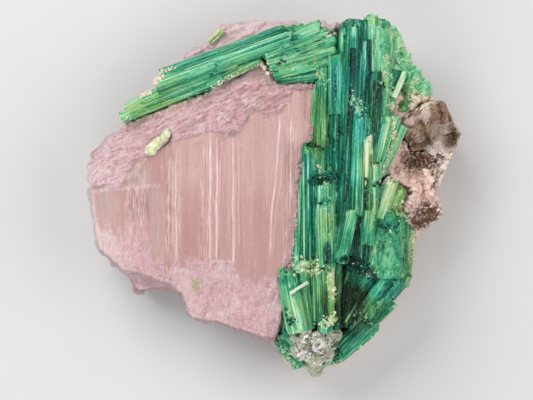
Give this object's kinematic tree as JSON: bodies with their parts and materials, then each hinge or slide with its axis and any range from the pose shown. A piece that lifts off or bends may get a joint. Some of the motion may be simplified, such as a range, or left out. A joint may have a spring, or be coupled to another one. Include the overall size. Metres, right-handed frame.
{
  "type": "mineral specimen",
  "caption": "Broken slab of pink kunzite with sprays of green tourmaline prisms, smoky quartz and pale albite grown along its edge, lying face up as a display piece.",
  "frame": {"origin": "under the middle of the specimen, on the surface that carries it", "axes": "+Z out of the displayed face, +Y along the tourmaline column towards its fanned end, +X from the kunzite towards the quartz"},
  "size_m": [0.0944, 0.0904, 0.0329],
  "materials": {
    "kunzite": "pearly cleavage face with fine upright white streaks, sugary and flaky towards its edges",
    "albite": "granular, dull, with brown stains",
    "tuft": "crumbly, dull, with black specks",
    "quartz": "glassy, smoky brown, with inner cracks",
    "tourmaline": "glassy, finely striated along each prism",
    "pale_tourmaline": "glassy, pale yellow-green"
  },
  "bodies": {
    "root": {"kunzite": "kunzite", "albite_matrix": "albite", "albite_tuft": "tuft", "smoky_quartz": "quartz", "tourmaline_column": "tourmaline", "tourmaline_fan": "tourmaline", "tourmaline_band": "tourmaline", "tourmaline_chip": "pale_tourmaline", "tourmaline_edge_chip": "pale_tourmaline"}
  },
  "joints": []
}
